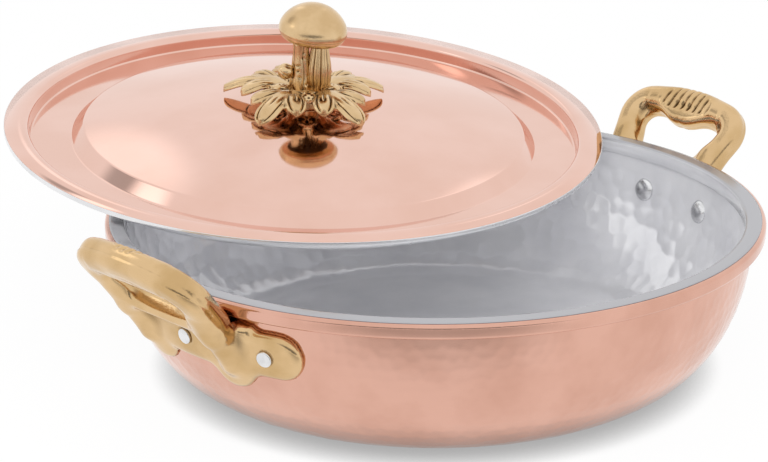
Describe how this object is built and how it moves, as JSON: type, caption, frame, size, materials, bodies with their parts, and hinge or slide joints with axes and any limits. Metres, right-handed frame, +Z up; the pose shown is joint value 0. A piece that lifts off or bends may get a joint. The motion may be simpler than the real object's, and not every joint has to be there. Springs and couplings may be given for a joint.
{
  "type": "copper pan with lid",
  "caption": "Deep round pan with a curved wall, rolled rim, two riveted loop handles and a spun lid with a cast ornamental knob, lid leaning on the rim.",
  "frame": {"origin": "centre of the underside of the pan's flat base", "axes": "+Z up, the two handles along +X (back_handle) and -X (front_handle), the lid leans out over the rim towards +Y"},
  "size_m": [0.383, 0.4262, 0.1556],
  "materials": {
    "hammered_copper": "hammered and polished copper, no lacquer",
    "lid_copper": "smooth mirror-polished copper",
    "pan_tin": "bright hammered tin lining",
    "lid_tin": "wiped tin lining, smooth",
    "handle_brass": "cast brass, satin polished",
    "knob_brass": "cast brass, polished high spots and darker hollows",
    "rivet": "tinned rivet heads",
    "fastener": "plain"
  },
  "bodies": {
    "pan": {"pan_body": "hammered_copper", "pan_tin_lining": "pan_tin", "back_handle": "handle_brass", "front_handle": "handle_brass", "back_handle_rivets": "rivet", "front_handle_rivets": "rivet"},
    "lid": {"lid_shell": "lid_copper", "lid_tin_lining": "lid_tin", "leaf_rosette": "knob_brass", "mushroom_stem": "knob_brass", "mushroom_cap": "knob_brass", "fluted_bud": "knob_brass", "berry": "knob_brass", "knob_stud": "fastener", "knob_washer": "fastener", "knob_nut": "fastener"}
  },
  "joints": [
    {"name": "lid_lift", "type": "slide", "parent": "pan", "child": "lid", "axis": [0, 0, 1], "range_m": [0, 0.15]}
  ]
}
